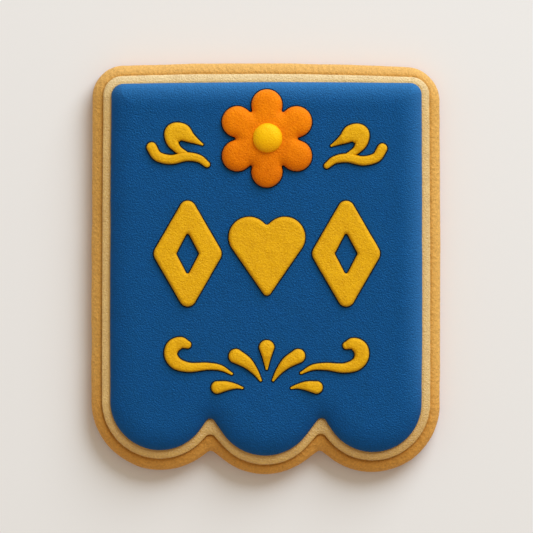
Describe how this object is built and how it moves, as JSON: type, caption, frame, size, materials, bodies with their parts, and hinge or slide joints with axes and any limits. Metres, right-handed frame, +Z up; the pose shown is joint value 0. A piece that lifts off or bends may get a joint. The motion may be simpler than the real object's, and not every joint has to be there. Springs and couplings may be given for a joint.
{
  "type": "iced sugar cookie",
  "caption": "Flat biscuit cut as a hanging banner with a scalloped foot, covered with a cream layer and puffy blue icing, with a raised flower, scrolls, drops, lozenges and a heart",
  "frame": {"origin": "middle of the flat underside, on the surface the biscuit lies on", "axes": "+Z up through the icing, +Y towards the straight top edge of the banner (its longest extent), +X to the right as seen from above"},
  "size_m": [0.0846, 0.0995, 0.0135],
  "materials": {
    "biscuit": "baked, fine crumb, matte",
    "cream": "dried icing, matte",
    "blue": "dried icing, finely grained satin",
    "yellow": "dried icing, matte",
    "orange": "dried icing, matte",
    "button": "dried icing, satin"
  },
  "bodies": {
    "root": {"cookie_base": "biscuit", "cream_icing": "cream", "blue_icing": "blue", "flower_petals": "orange", "flower_centre": "button", "scroll_top_left": "yellow", "scroll_top_right": "yellow", "lozenge_left": "yellow", "heart_middle": "yellow", "lozenge_right": "yellow", "drop_centre": "yellow", "scroll_low_left": "yellow", "scroll_low_right": "yellow", "drop_inner_left": "yellow", "drop_inner_right": "yellow", "drop_outer_left": "yellow", "drop_outer_right": "yellow"}
  },
  "joints": []
}
